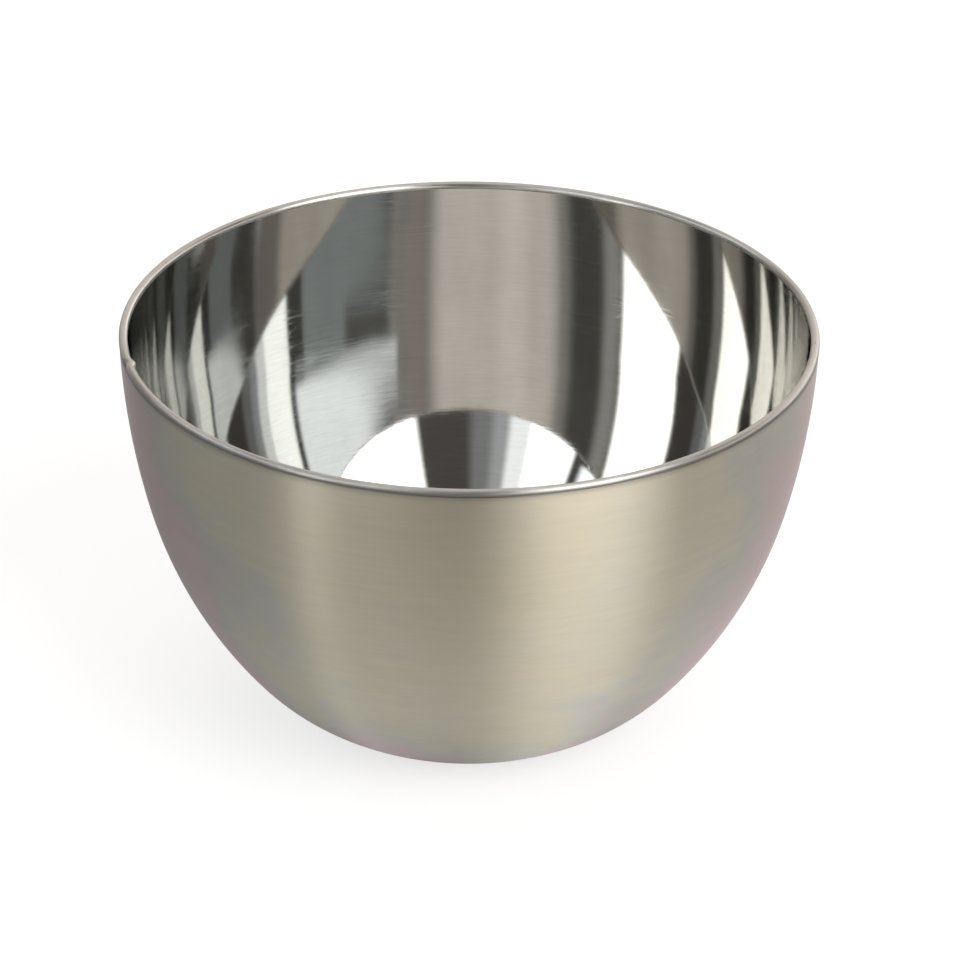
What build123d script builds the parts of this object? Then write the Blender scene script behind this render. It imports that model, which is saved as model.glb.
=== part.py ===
"""Double-walled steel shaving bowl: two drawn shells joined by a round weld along the rim.

The frame is +Z up, with the origin at the middle of the standing ring that the bowl rests on.
All sizes are millimetres, and all angles are degrees.
"""

import os
from math import acos, asin, degrees, radians, sin

from build123d import *

# Driving dimensions.
base_radius = 21.2  # where the flat standing ring turns up into the wall
sheet = 0.5  # thickness of each steel shell
wall = 1.3  # across both shells and the air gap between them, at the rim

# The walls from the bottom up: each pair is an arc's radius and how far it turns.
rim_lean = 2.0  # what is left to turn at the rim
outside_arcs = [(8.0, 26.0), (36.5, 24.5), (72.5, 25.0), (123.5, 12.5)]
cavity_arcs = [(18.0, 40.0), (33.0, 10.5), (71.2, 25.0), (122.2, 12.5)]

# The outer shell's base is pressed up inside its standing ring.
recess_height = 1.0
recess_radius = 16.5  # middle of the step down to the standing ring
step_radius = 1.6  # both bends of the step

# The weld along the rim.
bead_radius = 0.7
seat_drop = 0.26  # the shells' edges end this far below the bead's centre
root_depth = 0.6  # how far the weld runs down between the shells
root_clearance = 0.02  # between the root and each shell
lump_radius = 0.95  # where the weld starts and stops
lump_inset = 0.35  # the lump leans this far into the bowl
lump_azimuth = 193.5

# The plug in the vent hole, which is closed last.
vent_radius = 1.5
plug_head_radius = 2.8
plug_head_height = 0.5
plug_edge = 0.25  # rounding of the head's rim


def climb(start, arcs):
    """Draw tangent arcs that set off level and bend upwards, and return where they end."""
    heading = (1, 0)
    for radius, turn in arcs:
        arc = JernArc(start, heading, radius, turn)
        start = arc @ 1
        heading = arc % 1
    return start


def cut_level():
    """Cut a shell's outline level where the weld sits on it."""
    with Locations((rim_radius, seat_height)):
        Rectangle(4 * wall, 4 * wall, align=(Align.CENTER, Align.MIN), mode=Mode.SUBTRACT)


# Both walls drawn on their own first, to find where they end.
with BuildLine() as outside_reach:
    outside_end = climb((base_radius, 0), outside_arcs)
with BuildLine() as cavity_reach:
    cavity_end = climb((0, 0), cavity_arcs)

rim_radius = outside_end.X
rim_height = outside_end.Y
cavity_floor_radius = rim_radius - wall - cavity_end.X
cavity_floor_height = rim_height - cavity_end.Y
bead_ring_radius = rim_radius - wall / 2
seat_height = rim_height - seat_drop
seat_angle = degrees(asin(seat_drop / bead_radius))
root_width = wall - 2 * sheet - 2 * root_clearance

step_turn = degrees(acos(1 - recess_height / (2 * step_radius)))
step_reach = step_radius * sin(radians(step_turn))

with BuildPart() as outer_shell:
    with BuildSketch(Plane.XZ):
        with BuildLine():
            recess = Line((0, recess_height), (recess_radius - step_reach, recess_height))
            bend_down = JernArc(recess @ 1, recess % 1, step_radius, -step_turn)
            bend_level = JernArc(bend_down @ 1, bend_down % 1, step_radius, step_turn)
            Line(bend_level @ 1, (base_radius, 0))
            climb((base_radius, 0), outside_arcs)
            offset(amount=sheet, side=Side.LEFT)
        make_face()
        cut_level()
    revolve(axis=Axis.Z)
    with Locations((0, 0, recess_height)):
        Hole(vent_radius)
outer_shell.part.label = "outer_shell"

with BuildPart() as inner_shell:
    with BuildSketch(Plane.XZ):
        with BuildLine():
            Line((0, cavity_floor_height), (cavity_floor_radius, cavity_floor_height))
            climb((cavity_floor_radius, cavity_floor_height), cavity_arcs)
            offset(amount=sheet, side=Side.RIGHT)
        make_face()
        cut_level()
    revolve(axis=Axis.Z)
inner_shell.part.label = "inner_shell"

# The bead sits on both shells' edges, and its root runs down between them.
with BuildPart() as rim_weld:
    with BuildSketch(Plane.XZ):
        with BuildLine():
            centre = (bead_ring_radius, rim_height)
            cap = CenterArc(centre, bead_radius, -seat_angle, 180 + 2 * seat_angle)
            Line(cap @ 1, cap @ 0)
        make_face()
        with Locations((bead_ring_radius, seat_height)):
            Rectangle(root_width, 2 * root_depth, rotation=-rim_lean)
    revolve(axis=Axis.Z)
    with Locations(Location((0, 0, seat_height), (0, 0, lump_azimuth))):
        with Locations((bead_ring_radius - lump_inset, 0, 0)):
            Sphere(lump_radius, arc_size1=0, align=(Align.CENTER, Align.CENTER, Align.MIN))
rim_weld.part.label = "rim_weld"

with BuildPart() as vent_plug:
    with BuildSketch(Plane.XY.offset(recess_height)):
        Circle(vent_radius)
    extrude(amount=sheet)
    with BuildSketch(Plane.XY.offset(recess_height)):
        Circle(plug_head_radius)
    extrude(amount=-plug_head_height)
    head_rim = vent_plug.edges().sort_by(Axis.Z)[0]
    fillet(head_rim, plug_edge)
vent_plug.part.label = "vent_plug"

print("rim radius", round(rim_radius, 2), "top", round(rim_height + bead_radius, 2))
print("inside floor height", round(cavity_floor_height, 2), "radius", round(cavity_floor_radius, 2))

os.makedirs("parts", exist_ok=True)
export_step(outer_shell.part, "parts/outer_shell.step")
export_step(inner_shell.part, "parts/inner_shell.step")
export_step(rim_weld.part, "parts/rim_weld.step")
export_step(vent_plug.part, "parts/vent_plug.step")
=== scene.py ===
"""Looks of a double-walled steel shaving bowl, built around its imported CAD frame. Metres, +Z up."""

import math

import bpy
from mathutils import Matrix, Vector


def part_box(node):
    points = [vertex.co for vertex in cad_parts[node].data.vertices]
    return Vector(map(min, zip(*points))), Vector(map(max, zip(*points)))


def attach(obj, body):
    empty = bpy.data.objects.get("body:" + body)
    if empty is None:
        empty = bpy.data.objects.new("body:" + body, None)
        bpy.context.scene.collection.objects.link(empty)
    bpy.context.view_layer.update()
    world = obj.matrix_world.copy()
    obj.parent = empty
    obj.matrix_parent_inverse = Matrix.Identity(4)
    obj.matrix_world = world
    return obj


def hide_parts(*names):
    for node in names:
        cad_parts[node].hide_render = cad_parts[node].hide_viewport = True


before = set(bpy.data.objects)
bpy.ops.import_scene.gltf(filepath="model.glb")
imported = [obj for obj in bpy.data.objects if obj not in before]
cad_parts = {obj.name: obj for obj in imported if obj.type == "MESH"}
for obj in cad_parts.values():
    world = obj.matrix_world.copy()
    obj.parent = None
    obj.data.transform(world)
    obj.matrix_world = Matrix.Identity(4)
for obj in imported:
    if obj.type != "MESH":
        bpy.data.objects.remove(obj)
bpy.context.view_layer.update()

MM = 0.001
FULL_TURN = 2 * math.pi
UP = Vector((0, 0, 1))

# ---------------------------------------------------------------- sizes
# The walls' arcs, from the bottom up: radius in mm and turn in degrees, as the shells are drawn.
OUTSIDE_ARCS = [(8.0, 26.0), (36.5, 24.5), (72.5, 25.0), (123.5, 12.5)]
CAVITY_ARCS = [(18.0, 40.0), (33.0, 10.5), (71.2, 25.0), (122.2, 12.5)]
SHEET = 0.5 * MM
WALL = 1.3 * MM
BEAD_RADIUS = 0.7 * MM
SEAT_DROP = 0.26 * MM
RECESS_RADIUS = 16.5 * MM
STEP_RADIUS = 1.6 * MM
VENT_RADIUS = 1.5 * MM
PLUG_EDGE = 0.25 * MM
ROOT_WIDTH = 0.26 * MM
ROOT_DEPTH = 0.6 * MM  # below the seat
EDGE_BREAK = 0.16 * MM  # the outer sheet's edge is eased where the weld sits on it

# The bead wavers a little. Where it starts and stops, it swells and leans into the bowl.
LUMP_AZIMUTH = math.radians(193.5)
LUMP_WIDTH = 1.0 * MM
LUMP_SWELL = 0.12
LUMP_INSET = 0.34 * MM
WAVER = 0.012  # part of the bead's size
HEIGHT_WAVER_SHIFT = 1.0  # radians round the rim between the waver of width and of height

# Mesh fineness: the distance between an outline's points, and the steps round the bowl.
WALL_PITCH = 0.8 * MM
HIDDEN_PITCH = 2 * WALL_PITCH
FINE_PITCH = 0.25 * MM
PLUG_SIDE_PITCH = 0.1 * MM
PLUG_EDGE_PITCH = 0.04 * MM
SHELL_SEGMENTS = 288
BEAD_SEGMENTS = 960
BEAD_STEPS = 28
PLUG_SEGMENTS = 96
AXIS_RADIUS = 1e-7  # closer than this, a point lies on the axis


def box_of(node):
    """A node's lowest and highest corners, as vectors."""
    low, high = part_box(node)
    return Vector(low), Vector(high)


weld_low, weld_high = box_of("rim_weld")
shell_high = box_of("outer_shell")[1]
plug_low, plug_high = box_of("vent_plug")

# The bead's widest circle fits inside the frame's own box, which is a little narrower one way.
bead_reach = min(weld_high.x, weld_high.y, -weld_low.x, -weld_low.y)
RIM_HEIGHT = weld_high.z - BEAD_RADIUS
BEAD_RING = bead_reach - BEAD_RADIUS
RIM_RADIUS = BEAD_RING + WALL / 2
SEAT_HEIGHT = shell_high.z


# ---------------------------------------------------------------- outlines
class Outline:
    """A meridian drawn as (radius, height) points, walked like a pen with a heading in radians."""

    def __init__(self, radius, height, heading=0.0):
        self.points = [(radius, height)]
        self.heading = heading

    def line(self, length, pitch):
        """Go straight on by a length, with a point at every pitch."""
        count = max(1, round(length / pitch))
        r, z = self.points[-1]
        for i in range(1, count + 1):
            part = length * i / count
            self.points.append((r + part * math.cos(self.heading),
                                z + part * math.sin(self.heading)))
        return self

    def arc(self, radius, turn, pitch):
        """Turn left by an angle in radians, or right if it is negative, on a tangent arc."""
        side = math.copysign(1.0, turn)
        r, z = self.points[-1]
        centre_r = r - side * radius * math.sin(self.heading)
        centre_z = z + side * radius * math.cos(self.heading)
        count = max(2, round(abs(turn) * radius / pitch))
        for i in range(1, count + 1):
            heading = self.heading + turn * i / count
            self.points.append((centre_r + side * radius * math.sin(heading),
                                centre_z - side * radius * math.cos(heading)))
        self.heading += turn
        return self


def climb(outline, arcs, pitch, offset=0.0):
    """Follow a wall's arcs upwards; offset makes every arc that much tighter."""
    for radius_mm, turn_degrees in arcs:
        outline.arc(radius_mm * MM - offset, math.radians(turn_degrees), pitch)
    return outline


def reach(arcs):
    """How far out and up a wall's arcs go."""
    return climb(Outline(0, 0), arcs, pitch=MM).points[-1]


def cut_at(points, height):
    """End an outline exactly at a height that its wall climbs past."""
    kept = [p for p in points if p[1] < height]
    (r0, z0), (r1, z1) = kept[-1], points[len(kept)]
    part = (height - z0) / (z1 - z0)
    return kept + [(r0 + part * (r1 - r0), height)]


# ---------------------------------------------------------------- meshes
def put(name, data):
    """Put new data into the scene as an object."""
    item = bpy.data.objects.new(name, data)
    bpy.context.scene.collection.objects.link(item)
    return item


def skin(rings, along, segments):
    """The faces between a closed loop's rings of vertices, and (u, v) at each face's corners."""
    faces = []
    uvs = []
    for i in range(len(rings)):
        low, high = rings[i], rings[(i + 1) % len(rings)]
        for s in range(segments):
            t = (s + 1) % segments
            corners = [(low[s], s, i), (low[t], s + 1, i),
                       (high[t], s + 1, i + 1), (high[s], s, i + 1)]
            face = []
            for corner in corners:
                if not face or (corner[0] != face[-1][0] and corner[0] != face[0][0]):
                    face.append(corner)
            if len(face) > 2:
                faces.append([c[0] for c in face])
                uvs += [(c[1] / segments, along[c[2]]) for c in face]
    return faces, uvs


def lathe(name, loop, segments, sharp=(), shape=None):
    """Turn a closed meridian loop about the axis, with u round the bowl and v along the loop.

    u goes from 0 to 1, and v is in metres. Points on the axis become one vertex. sharp lists
    the loop's points that stay crisp. shape(r, z, azimuth) may move each point.
    """
    verts = []
    rings = []
    for r, z in loop:
        if r < AXIS_RADIUS:
            rings.append([len(verts)] * segments)
            verts.append((0.0, 0.0, z))
            continue
        ring = []
        for s in range(segments):
            azimuth = FULL_TURN * s / segments
            pr, pz = shape(r, z, azimuth) if shape else (r, z)
            ring.append(len(verts))
            verts.append((pr * math.cos(azimuth), pr * math.sin(azimuth), pz))
        rings.append(ring)

    along = [0.0]
    for (r0, z0), (r1, z1) in zip(loop, loop[1:] + loop[:1]):
        along.append(along[-1] + math.hypot(r1 - r0, z1 - z0))
    faces, uvs = skin(rings, along, segments)

    mesh = bpy.data.meshes.new(name)
    mesh.from_pydata(verts, [], faces)
    mesh.polygons.foreach_set("use_smooth", [True] * len(mesh.polygons))
    layer = mesh.uv_layers.new(name="wrap")
    for corner, uv in zip(layer.data, uvs):
        corner.uv = uv
    crisp = set()
    for i in sharp:
        ring = rings[i]
        crisp |= {frozenset((ring[s], ring[(s + 1) % segments])) for s in range(segments)}
    for edge in mesh.edges:
        if frozenset(edge.vertices) in crisp:
            edge.use_edge_sharp = True
    mesh.validate()
    mesh.update()
    return put(name, mesh)


def inner_shell():
    """The mirror-polished bowl: the cavity's face, and the hidden face one sheet behind it."""
    out, up = reach(CAVITY_ARCS)
    floor_radius = RIM_RADIUS - WALL - out
    floor_height = RIM_HEIGHT - up
    face = Outline(0, floor_height).line(floor_radius, WALL_PITCH)
    climb(face, CAVITY_ARCS, WALL_PITCH)
    face = cut_at(face.points, SEAT_HEIGHT)
    back = Outline(0, floor_height - SHEET).line(floor_radius, HIDDEN_PITCH)
    climb(back, CAVITY_ARCS, HIDDEN_PITCH, offset=-SHEET)
    back = cut_at(back.points, SEAT_HEIGHT)
    loop = back + face[::-1]
    return lathe("inner_shell_polished", loop, SHELL_SEGMENTS, sharp=(len(back) - 1, len(back)))


def outer_shell():
    """The satin bowl with its pressed base, and the hidden face one sheet inside it."""
    out, _ = reach(OUTSIDE_ARCS)
    base_radius = RIM_RADIUS - out
    recess_height = plug_high.z - SHEET
    step_turn = math.acos(1 - recess_height / (2 * STEP_RADIUS))
    step_reach = STEP_RADIUS * math.sin(step_turn)

    def surface(inset, pitch):
        """From the vent hole out over the base and up the wall, one inset inside the outside."""
        line = Outline(VENT_RADIUS, recess_height + inset)
        line.line(RECESS_RADIUS - step_reach - VENT_RADIUS, pitch)
        line.arc(STEP_RADIUS + inset, -step_turn, FINE_PITCH)
        line.arc(STEP_RADIUS - inset, step_turn, FINE_PITCH)
        line.line(base_radius - RECESS_RADIUS - step_reach, pitch)
        climb(line, OUTSIDE_ARCS, pitch, offset=inset)
        return line.points

    face = cut_at(surface(0, WALL_PITCH), SEAT_HEIGHT - EDGE_BREAK)
    eased = (face[-1][0] - EDGE_BREAK, SEAT_HEIGHT)
    back = cut_at(surface(SHEET, HIDDEN_PITCH), SEAT_HEIGHT)
    loop = face + [eased] + back[::-1]
    ends = (0, len(face) - 1, len(face), len(face) + 1, len(loop) - 1)
    return lathe("outer_shell_satin", loop, SHELL_SEGMENTS, sharp=ends)


def lump(azimuth):
    """1 where the weld starts and stops, falling to almost 0 two lump widths away."""
    gap = (azimuth - LUMP_AZIMUTH + math.pi) % FULL_TURN - math.pi
    return math.exp(-((gap * BEAD_RING / LUMP_WIDTH) ** 2))


def waver(azimuth):
    """A slow, slight unevenness of the ground bead, from -1 to 1."""
    waves = ((5, 0.4, 0.5), (13, 1.9, 0.3), (31, 4.2, 0.2))  # how many, phase, share
    return sum(share * math.sin(count * azimuth + phase) for count, phase, share in waves)


def rim_weld():
    """The ground bead on both shells' edges, with its root between them and its lump."""
    seat_angle = math.asin(SEAT_DROP / BEAD_RADIUS)
    cap = []
    for i in range(BEAD_STEPS + 1):
        angle = -seat_angle + (math.pi + 2 * seat_angle) * i / BEAD_STEPS
        cap.append((BEAD_RING + BEAD_RADIUS * math.cos(angle),
                    RIM_HEIGHT + BEAD_RADIUS * math.sin(angle)))
    root_end = SEAT_HEIGHT - ROOT_DEPTH
    root = [(BEAD_RING - ROOT_WIDTH / 2, root_end), (BEAD_RING + ROOT_WIDTH / 2, root_end)]

    def shape(r, z, azimuth):
        """Waver and swell the bead's section. The root's end, between the shells, stays put."""
        if z == root_end:
            return r, z
        here = lump(azimuth)
        width = 1 + LUMP_SWELL * here - WAVER * (1 + waver(azimuth))
        height = 1 - WAVER * (1 + waver(azimuth + HEIGHT_WAVER_SHIFT))
        return (BEAD_RING + (r - BEAD_RING) * width - LUMP_INSET * here,
                RIM_HEIGHT + (z - RIM_HEIGHT) * height)

    sharp = (0, BEAD_STEPS, BEAD_STEPS + 1, BEAD_STEPS + 2)
    return lathe("rim_weld_bead", cap + root, BEAD_SEGMENTS, sharp=sharp, shape=shape)


def vent_plug():
    """The plug: a low rounded head in the recess, with its shank through the sheet."""
    head_radius = plug_high.x
    line = Outline(0, plug_low.z)
    line.line(head_radius - PLUG_EDGE, FINE_PITCH)
    line.arc(PLUG_EDGE, math.pi / 2, PLUG_EDGE_PITCH)
    line.line(plug_high.z - SHEET - plug_low.z - PLUG_EDGE, PLUG_SIDE_PITCH)
    loop = line.points
    corner = len(loop) - 1
    loop += [(VENT_RADIUS, plug_high.z - SHEET), (VENT_RADIUS, plug_high.z), (0, plug_high.z)]
    return lathe("vent_plug_spun", loop, PLUG_SEGMENTS, sharp=(corner, corner + 1, corner + 2))


# ---------------------------------------------------------------- materials
POLISH_DARK = (0.59, 0.585, 0.565, 1)
POLISH_LIGHT = (0.665, 0.66, 0.64, 1)
GRAIN_DARK = (0.94, 0.94, 0.94, 1)  # the satin's grain darkens and lightens its tint
GRAIN_LIGHT = (1.05, 1.05, 1.05, 1)
BEAD_DARK = (0.42, 0.405, 0.385, 1)
BEAD_LIGHT = (0.53, 0.51, 0.485, 1)
PAINTED_SHADE_TONE = (0.16, 0.145, 0.13, 1)  # painted shade, where the weld meets the outer shell
PLUG_DARK = (0.50, 0.49, 0.47, 1)
PLUG_LIGHT = (0.66, 0.65, 0.62, 1)

# The satin's tint: a place on the scale from flank to front, and its colour.
TINTS = [
    (0.10, (0.595, 0.505, 0.51, 1)),
    (0.36, (0.575, 0.48, 0.48, 1)),
    (0.50, (0.52, 0.505, 0.465, 1)),
    (0.62, (0.565, 0.53, 0.435, 1)),
    (0.80, (0.585, 0.53, 0.425, 1)),
    (0.95, (0.585, 0.525, 0.41, 1)),
]


class Nodes:
    """A short way to write a node tree: each call adds a few nodes and links their inputs."""

    def __init__(self, tree):
        self.tree = tree
        tree.nodes.clear()

    def add(self, kind, inputs=None, **settings):
        node = self.tree.nodes.new(kind)
        for key, value in settings.items():
            setattr(node, key, value)
        for key, value in (inputs or {}).items():
            if isinstance(value, bpy.types.NodeSocket):
                self.tree.links.new(value, node.inputs[key])
            else:
                node.inputs[key].default_value = value
        return node

    def math(self, operation, *values):
        node = self.add("ShaderNodeMath", dict(enumerate(values)), operation=operation)
        return node.outputs[0]

    def vector_math(self, operation, *values):
        """For the vector operations that give one number."""
        node = self.add("ShaderNodeVectorMath", dict(enumerate(values)), operation=operation)
        return node.outputs["Value"]

    def weigh(self, a, share_a, b, share_b):
        """a times its share, plus b times its share."""
        return self.math("ADD", self.math("MULTIPLY", a, share_a),
                         self.math("MULTIPLY", b, share_b))

    def place(self):
        """Where a spot is on the bowl, in metres."""
        return self.add("ShaderNodeTexCoord").outputs["Object"]

    def axes(self, vector):
        """A vector's three parts."""
        parts = self.add("ShaderNodeSeparateXYZ", {"Vector": vector}).outputs
        return parts["X"], parts["Y"], parts["Z"]

    def noise(self, vector, scale, detail=2.0, rough=0.5):
        node = self.add("ShaderNodeTexNoise", {
            "Vector": vector, "Scale": scale, "Detail": detail, "Roughness": rough})
        return node.outputs["Fac"]

    def remap(self, value, low, high, to_low, to_high, smooth=False):
        kind = "SMOOTHSTEP" if smooth else "LINEAR"
        node = self.add("ShaderNodeMapRange", {
            "Value": value, "From Min": low, "From Max": high,
            "To Min": to_low, "To Max": to_high}, interpolation_type=kind)
        return node.outputs["Result"]

    def blend(self, factor, a, b, mode="MIX"):
        """Mix two colours. The node mixes other kinds too, so a colour's sockets are numbered."""
        node = self.add("ShaderNodeMix", {"Factor": factor, 6: a, 7: b},
                        data_type="RGBA", blend_type=mode)
        return node.outputs[2]


def rolled_coordinates(nodes, around, across):
    """Seamless coordinates for marks that run round the bowl.

    Round the bowl they change at the rate around, and across the marks, by the distance along
    the outline, at the rate across.
    """
    x, y, z = nodes.axes(nodes.place())
    radius = nodes.math("SQRT", nodes.weigh(x, x, y, y))
    radius = nodes.math("MAXIMUM", radius, 0.5 * MM)
    rolled = nodes.add("ShaderNodeCombineXYZ", {
        "X": nodes.math("MULTIPLY", nodes.math("DIVIDE", x, radius), around),
        "Y": nodes.math("MULTIPLY", nodes.math("DIVIDE", y, radius), around),
        "Z": nodes.math("MULTIPLY", nodes.math("SUBTRACT", z, radius), across)})
    return rolled.outputs["Vector"]


def steel(name, anisotropy=0.0):
    """A metal whose colour, roughness and bump are set by its own marks afterwards."""
    material = bpy.data.materials.new(name)
    material.use_nodes = True
    nodes = Nodes(material.node_tree)
    shader = nodes.add("ShaderNodeBsdfPrincipled", {"Metallic": 1.0, "Anisotropic": anisotropy})
    nodes.add("ShaderNodeOutputMaterial", {"Surface": shader.outputs["BSDF"]})
    if anisotropy:
        # A quarter turn lays the brush lines round the bowl.
        shader.inputs["Anisotropic Rotation"].default_value = 0.25
        tangent = nodes.add("ShaderNodeTangent", direction_type="RADIAL", axis="Z")
        nodes.tree.links.new(tangent.outputs["Tangent"], shader.inputs["Tangent"])
    return material, nodes, shader


def link(nodes, shader, name, socket):
    nodes.tree.links.new(socket, shader.inputs[name])


def engrave(nodes, shader, height, strength, depth):
    """Bump a shader's surface by a height from 0 to 1, whose full depth is in metres."""
    bump = nodes.add("ShaderNodeBump", {"Height": height, "Strength": strength, "Distance": depth})
    link(nodes, shader, "Normal", bump.outputs["Normal"])


def scratches(nodes, turn, fineness):
    """Fine straight scratches on a slant: thin lines, 1 on a scratch and 0 beside it."""
    place = nodes.place()
    slanted = nodes.add("ShaderNodeMapping", {
        "Vector": place, "Rotation": turn, "Scale": (60, 60, fineness)})
    lines = nodes.noise(slanted.outputs["Vector"], 1.0, detail=1.0)
    ridge = nodes.math("ABSOLUTE", nodes.math("SUBTRACT", lines, 0.5))
    patches = nodes.noise(place, 55.0, detail=1.0)
    near = nodes.remap(ridge, 0.0, 0.012, 1.0, 0.0)
    return nodes.math("MULTIPLY", near, nodes.remap(patches, 0.45, 0.6, 0.0, 1.0))


def polished_steel():
    """Mirror-polished cavity with buffing marks round the bowl and fine scratches across them."""
    material, nodes, shader = steel("polished_steel")
    fine = nodes.noise(rolled_coordinates(nodes, 9.0, 5200.0), 1.0, detail=3.0, rough=0.6)
    broad = nodes.noise(rolled_coordinates(nodes, 2.0, 420.0), 1.0, detail=2.0)
    cloud = nodes.noise(nodes.place(), 70.0, detail=3.0)
    marks = nodes.math("MAXIMUM", scratches(nodes, (0.5, 0.9, 0.3), 900.0),
                       scratches(nodes, (-0.7, 0.4, 1.1), 700.0))
    tone = nodes.remap(nodes.weigh(fine, 0.5, cloud, 0.5), 0.35, 0.65, 0.0, 1.0)
    link(nodes, shader, "Base Color", nodes.blend(tone, POLISH_DARK, POLISH_LIGHT))
    haze = nodes.weigh(fine, 0.6, cloud, 0.4)
    rough = nodes.remap(haze, 0.3, 0.7, 0.025, 0.06)
    link(nodes, shader, "Roughness", nodes.math("ADD", rough, nodes.math("MULTIPLY", marks, 0.06)))
    height = nodes.weigh(fine, 0.16, broad, 0.45)
    height = nodes.math("SUBTRACT", height, nodes.math("MULTIPLY", marks, 0.03))
    engrave(nodes, shader, height, 0.03, 0.2 * MM)
    return material


def heat_tint(nodes):
    """The faint rainbow of a thin oxide: mauve on the flanks, then grey, and straw front and back.

    The colour changes with how far a spot faces front or back and up, and in soft clouds.
    """
    spots = nodes.add("ShaderNodeTexCoord")
    _, facing_front, facing_up = nodes.axes(spots.outputs["Normal"])
    level = nodes.weigh(nodes.math("ABSOLUTE", facing_front), 0.9, facing_up, 0.2)
    cloud = nodes.noise(spots.outputs["Object"], 60.0, detail=3.0, rough=0.55)
    level = nodes.math("ADD", level, nodes.remap(cloud, 0.3, 0.7, -0.17, 0.17))
    ramp = nodes.add("ShaderNodeValToRGB", {"Fac": level})
    stops = ramp.color_ramp.elements
    stops.remove(stops[1])
    stops[0].position, stops[0].color = TINTS[0]
    for level, colour in TINTS[1:]:
        stops.new(level).color = colour
    return ramp.outputs["Color"]


def satin_steel():
    """Satin outside, brushed round the bowl, with painted shade darkening it just under where the
    weld sits on it.
    """
    material, nodes, shader = steel("satin_steel", anisotropy=0.95)
    fine = nodes.noise(rolled_coordinates(nodes, 14.0, 9000.0), 1.0, detail=3.0, rough=0.65)
    bands = nodes.noise(rolled_coordinates(nodes, 3.0, 900.0), 1.0, detail=2.0)
    cloud = nodes.noise(nodes.place(), 45.0, detail=2.0)
    tone = nodes.weigh(fine, 0.6, bands, 0.4)
    grain = nodes.blend(nodes.remap(tone, 0.3, 0.7, 0.0, 1.0), GRAIN_DARK, GRAIN_LIGHT)
    colour = nodes.blend(1.0, heat_tint(nodes), grain, mode="MULTIPLY")
    # Painted shade: the satin darkens toward the shade tone just under the weld, gently over the top
    # 1.3 mm and more over the last 0.45 mm.
    _, _, height = nodes.axes(nodes.place())
    soft = nodes.remap(height, SEAT_HEIGHT - 1.3 * MM, SEAT_HEIGHT - 0.2 * MM,
                       0.0, 0.30, smooth=True)
    painted_seam_shade = nodes.remap(height, SEAT_HEIGHT - 0.45 * MM, SEAT_HEIGHT - 0.05 * MM,
                       0.0, 0.45, smooth=True)
    colour = nodes.blend(nodes.math("ADD", soft, painted_seam_shade), colour, PAINTED_SHADE_TONE)
    link(nodes, shader, "Base Color", colour)
    rough = nodes.remap(nodes.weigh(tone, 0.7, cloud, 0.3), 0.3, 0.7, 0.39, 0.43)
    link(nodes, shader, "Roughness", rough)
    engrave(nodes, shader, fine, 0.10, 0.05 * MM)
    return material


def bead_steel():
    """The weld: ground bright round the bowl, with a darker line of painted shade where it meets the
    outer shell.
    """
    material, nodes, shader = steel("bead_steel", anisotropy=0.85)
    place = nodes.place()
    flat = nodes.add("ShaderNodeVectorMath", {0: place, 1: (1, 1, 0)}, operation="MULTIPLY")
    radius = nodes.vector_math("LENGTH", flat.outputs["Vector"])
    _, _, height = nodes.axes(place)
    # Painted shade: the bead's outer side darkens toward the shade tone as it nears the seat on the
    # outer shell.
    outer = nodes.remap(radius, BEAD_RING - 0.05 * MM, BEAD_RING + 0.40 * MM,
                        0.0, 1.0, smooth=True)
    low = nodes.remap(height, SEAT_HEIGHT, RIM_HEIGHT + 0.50 * MM, 1.0, 0.0, smooth=True)
    painted_seam_shade = nodes.math("MULTIPLY", nodes.math("MULTIPLY", outer, low), 0.8)
    cloud = nodes.noise(place, 260.0, detail=2.0)
    lines = nodes.noise(rolled_coordinates(nodes, 6.0, 9000.0), 1.0, detail=2.0)
    mottle = nodes.weigh(cloud, 0.5, lines, 0.5)
    bright = nodes.blend(nodes.remap(mottle, 0.3, 0.7, 0.0, 1.0), BEAD_DARK, BEAD_LIGHT)
    link(nodes, shader, "Base Color", nodes.blend(painted_seam_shade, bright, PAINTED_SHADE_TONE))
    rough = nodes.remap(mottle, 0.3, 0.7, 0.26, 0.34)
    link(nodes, shader, "Roughness", nodes.math("ADD", rough, nodes.math("MULTIPLY", outer, 0.08)))
    engrave(nodes, shader, lines, 0.05, 0.03 * MM)
    return material


def plug_steel():
    """The vent plug, spun with fine rings."""
    material, nodes, shader = steel("plug_steel")
    rings = nodes.noise(rolled_coordinates(nodes, 1.0, 9000.0), 1.0, detail=2.0)
    link(nodes, shader, "Base Color", nodes.blend(rings, PLUG_DARK, PLUG_LIGHT))
    link(nodes, shader, "Roughness", nodes.remap(rings, 0.3, 0.7, 0.28, 0.42))
    engrave(nodes, shader, rings, 0.2, 0.05 * MM)
    return material


# ---------------------------------------------------------------- the pieces
def fit_out(piece, node, material):
    """Give a piece its material, and put it in the place of the frame's node."""
    piece.data.materials.append(material)
    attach(piece, "root")
    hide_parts(node)


fit_out(inner_shell(), "inner_shell", polished_steel())
fit_out(outer_shell(), "outer_shell", satin_steel())
fit_out(rim_weld(), "rim_weld", bead_steel())
fit_out(vent_plug(), "vent_plug", plug_steel())


# ---------------------------------------------------------------- studio
FLOOR_REACH = 6.0
FLOOR_DROP = 0.02 * MM  # it lies this far below the bowl
FLOOR_ROUGHNESS = 0.9
FLOOR_TONE = (0.40, 0.40, 0.395)
FLOOR_GLOW = 0.66  # the floor is lit from below, like a light table

# The floor as the steel sees it: a pool of light round the bowl, dim further out and shaded
# under the bowl. Both fade between two distances, from the pool's centre and from the axis.
FLOOR_IN_STEEL = (0.22, 0.22, 0.215)
POOL_CENTRE = (30 * MM, -40 * MM, 0)
POOL_FADE = (20 * MM, 140 * MM)
GLOW_NEAR = 0.58
GLOW_FAR = 0.12
SHADE_FADE = (20 * MM, 55 * MM)
UNDER_BOWL = 0.30  # the share of the glow that is left under the bowl


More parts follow.
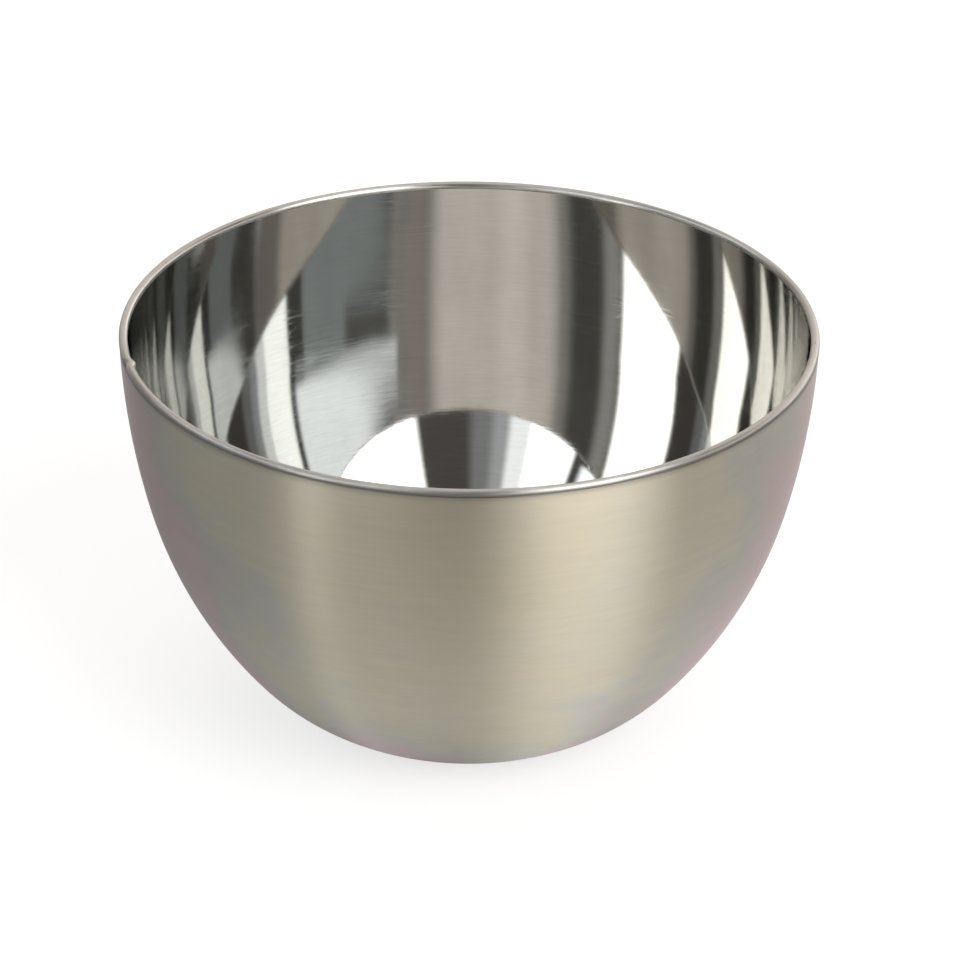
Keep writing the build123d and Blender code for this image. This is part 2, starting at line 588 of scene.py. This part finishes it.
def floor():
    """A plain pale floor, far wider than the view."""
    signs = [(-1, -1), (1, -1), (1, 1), (-1, 1)]
    corners = [(x * FLOOR_REACH, y * FLOOR_REACH, 0) for x, y in signs]
    mesh = bpy.data.meshes.new("floor")
    mesh.from_pydata(corners, [], [(0, 1, 2, 3)])
    piece = put("floor", mesh)
    piece.location.z = -FLOOR_DROP
    material = bpy.data.materials.new("floor")
    material.use_nodes = True
    nodes = Nodes(material.node_tree)
    seen = nodes.add("ShaderNodeLightPath").outputs["Is Camera Ray"]
    tone = nodes.blend(seen, (*FLOOR_IN_STEEL, 1), (*FLOOR_TONE, 1))
    spot = nodes.place()
    distance = nodes.vector_math("DISTANCE", spot, POOL_CENTRE)
    pool = nodes.remap(distance, *POOL_FADE, GLOW_NEAR, GLOW_FAR, smooth=True)
    under = nodes.vector_math("LENGTH", spot)
    shade = nodes.remap(under, *SHADE_FADE, UNDER_BOWL, 1.0, smooth=True)
    glow = nodes.remap(seen, 0.0, 1.0, nodes.math("MULTIPLY", pool, shade), FLOOR_GLOW)
    shader = nodes.add("ShaderNodeBsdfPrincipled", {
        "Base Color": tone, "Roughness": FLOOR_ROUGHNESS,
        "Emission Color": (1, 1, 1, 1), "Emission Strength": glow})
    nodes.add("ShaderNodeOutputMaterial", {"Surface": shader.outputs["BSDF"]})
    mesh.materials.append(material)


# What stands round the bowl in the studio, as seen from it. Azimuth 0 is the camera's side and
# 90 is the right; each has its middle and half width in azimuth and in elevation, all in
# degrees, a soft edge in each, a colour and a strength. Later ones cover earlier ones.
SCREENS = [
    # azimuth, half, elevation, half, edges, colour, strength
    (162, 44, 28, 45, 20, 8, (1.0, 0.925, 0.86), 1.03),
    (150, 9, 28, 45, 12, 8, (1.0, 0.94, 0.88), 1.15),
    (112, 4, 28, 45, 8, 8, (1.0, 0.96, 0.92), 0.42),
    (97, 12, 25, 45, 12, 8, (1.0, 0.95, 0.90), 0.12),
    (79, 5, 25, 45, 8, 8, (1.0, 0.98, 0.96), 0.50),
    (-141, 9, 20, 45, 12, 8, (1.0, 0.90, 0.83), 0.44),
    (-97, 37, 10, 35, 8, 8, (0.88, 0.98, 1.0), 0.43),
    (-128, 6, 10, 35, 8, 8, (1.0, 0.95, 0.90), 0.40),
    (-108, 16, 25.6, 1.1, 8, 1.0, (1.0, 0.98, 0.92), 0.14),
    (-53, 6, 15, 40, 3, 8, (1.0, 1.0, 0.94), 0.09),
    (-90.5, 39, 36.8, 9.6, 4, 1.4, (0.92, 0.97, 1.0), 1.9),
    (-13, 5, 25, 45, 6, 8, (0.93, 0.98, 1.0), 0.50),
    (-5, 5, 25, 45, 6, 8, (0.97, 1.0, 1.0), 0.26),
    (11, 12, 25, 45, 6, 8, (1.0, 0.92, 0.86), 0.09),
    (-21.5, 4.5, 30, 14, 4, 4, (0.97, 1.0, 1.0), 1.35),
    (-36, 10.5, 31, 15, 3, 4, (0.97, 1.0, 0.99), 2.3),
    (-100, 44, 2, 15, 8, 5, (0.95, 0.98, 1.0), 0.06),
    (-50, 6, 4, 12, 6, 6, (0.98, 1.0, 1.0), 5.2),
    (46, 23.5, 34, 20, 6, 4, (1.0, 1.0, 0.98), 4.5),
    (32, 23, 3, 11, 12, 6, (1.0, 1.0, 0.98), 3.7),
    (118, 42, 2, 12, 10, 8, (1.0, 0.98, 0.95), 2.5),
    (-156, 24, 2, 12, 10, 8, (1.0, 0.98, 0.95), 0.75),
]
AMBIENT = (0.28, 0.28, 0.27, 1)
OVERHEAD = (1.05, 1.05, 1.05, 1)
OVERHEAD_STARTS = math.radians(55)  # it comes in between these elevations
OVERHEAD_FULL = math.radians(75)
BACKGROUND = (1.0, 1.0, 1.0, 1)


def screen_edge(nodes, angle, half, edge):
    """1 within half of an angle, in degrees, falling to 0 across a soft edge."""
    inner, outer = math.radians(half - edge / 2), math.radians(half + edge / 2)
    return nodes.remap(nodes.math("ABSOLUTE", angle), inner, outer, 1.0, 0.0, smooth=True)


def studio():
    """The studio's light as it arrives from every direction, and a plain background."""
    world = bpy.data.worlds.new("studio")
    world.use_nodes = True
    bpy.context.scene.world = world
    nodes = Nodes(world.node_tree)
    x, y, z = nodes.axes(nodes.add("ShaderNodeTexCoord").outputs["Generated"])
    azimuth = nodes.math("ARCTAN2", x, nodes.math("MULTIPLY", y, -1.0))
    elevation = nodes.math("ARCSINE", z)
    overhead = nodes.remap(elevation, OVERHEAD_STARTS, OVERHEAD_FULL, 0.0, 1.0, smooth=True)
    light = nodes.blend(overhead, AMBIENT, OVERHEAD)
    for az, az_half, el, el_half, az_edge, el_edge, colour, strength in SCREENS:
        across = nodes.math("SUBTRACT", azimuth, math.radians(az))
        across = nodes.math("WRAP", across, math.pi, -math.pi)
        above = nodes.math("SUBTRACT", elevation, math.radians(el))
        cover = nodes.math("MULTIPLY", screen_edge(nodes, across, az_half, az_edge),
                           screen_edge(nodes, above, el_half, el_edge))
        light = nodes.blend(cover, light, (*[c * strength for c in colour], 1))
    seen = nodes.add("ShaderNodeLightPath").outputs["Is Camera Ray"]
    light = nodes.blend(seen, light, BACKGROUND)
    back = nodes.add("ShaderNodeBackground", {"Color": light, "Strength": 1.0})
    nodes.add("ShaderNodeOutputWorld", {"Surface": back.outputs["Background"]})


# The long lens looks down into the bowl from the front, aimed a little below the rim's centre
# and to its right, and rolled a little.
EYE_DISTANCE = 16.0 * RIM_RADIUS
EYE_ELEVATION = math.radians(26.36)
AIM_DROP = math.radians(1.523)
AIM_TURN = math.radians(0.137)
ROLL = math.radians(0.525)
FOCAL_MM = 209.8
SENSOR_MM = 36.0
NEAREST = 0.01
FARTHEST = 50.0


def camera():
    """The camera at its viewing angle."""
    data = bpy.data.cameras.new("camera")
    data.lens = FOCAL_MM
    data.sensor_width = SENSOR_MM
    data.clip_start = NEAREST
    data.clip_end = FARTHEST
    eye = put("camera", data)
    pitch = EYE_ELEVATION + AIM_DROP
    forward = Vector((math.sin(AIM_TURN) * math.cos(pitch),
                      math.cos(AIM_TURN) * math.cos(pitch),
                      -math.sin(pitch)))
    right = forward.cross(UP).normalized()
    up = right.cross(forward)
    tilted_right = math.cos(ROLL) * right + math.sin(ROLL) * up
    tilted_up = math.cos(ROLL) * up - math.sin(ROLL) * right
    turn = Matrix((tilted_right, tilted_up, -forward)).transposed().to_4x4()
    place = Vector((0, -math.cos(EYE_ELEVATION), math.sin(EYE_ELEVATION))) * EYE_DISTANCE
    place.z += RIM_HEIGHT
    eye.matrix_world = Matrix.Translation(place) @ turn
    bpy.context.scene.camera = eye


floor()
studio()
camera()

scene = bpy.context.scene
scene.view_settings.view_transform = "Standard"
# Light bounces many times inside the polished bowl.
scene.cycles.max_bounces = 16
scene.cycles.glossy_bounces = 14
